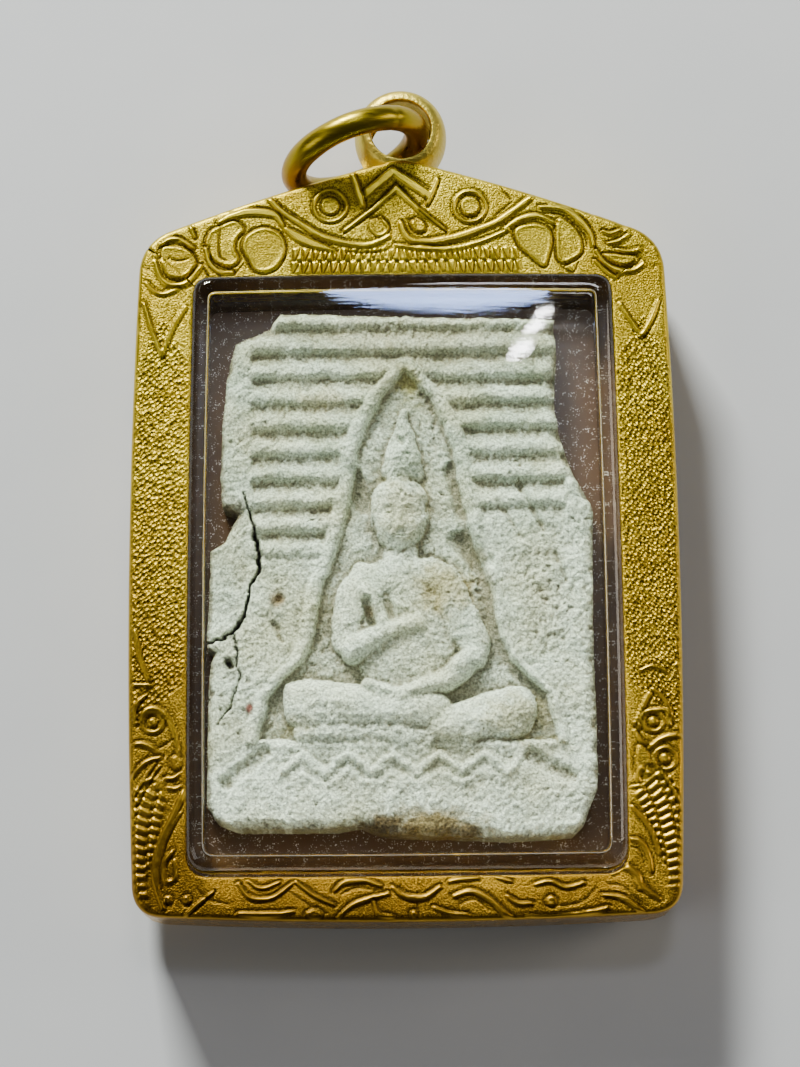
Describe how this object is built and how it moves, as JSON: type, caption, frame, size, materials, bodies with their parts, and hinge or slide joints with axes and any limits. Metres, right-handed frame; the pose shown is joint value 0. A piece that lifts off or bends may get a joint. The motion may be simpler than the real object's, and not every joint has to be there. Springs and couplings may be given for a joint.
{
  "type": "amulet pendant",
  "caption": "Pressed clay tablet with a seated figure in relief, in a clear case gripped by a chased gold frame with a peaked top, a bail and a jump ring.",
  "frame": {"origin": "centre of the bounding box at its lowest face: the flat back of the back panel, on which the pendant lies", "axes": "+Z out of the pendant's face, +Y up the pendant towards the bail, +X to the viewer's right"},
  "size_m": [0.0364, 0.057, 0.0106],
  "materials": {
    "gold": "chased and matted high-carat gold, polished on the edges",
    "ring_gold": "polished gold wire with fine wear",
    "clear_acrylic": "clear polished acrylic with fine scratches",
    "brown_acrylic": "dark brown acrylic with pale dust on its inner face",
    "clay_powder": "dry pressed clay powder, grey-white with brown stains"
  },
  "bodies": {
    "root": {"gold_frame": "gold", "jump_ring": "ring_gold", "clear_cover": "clear_acrylic", "back_panel": "brown_acrylic", "tablet": "clay_powder"}
  },
  "joints": []
}
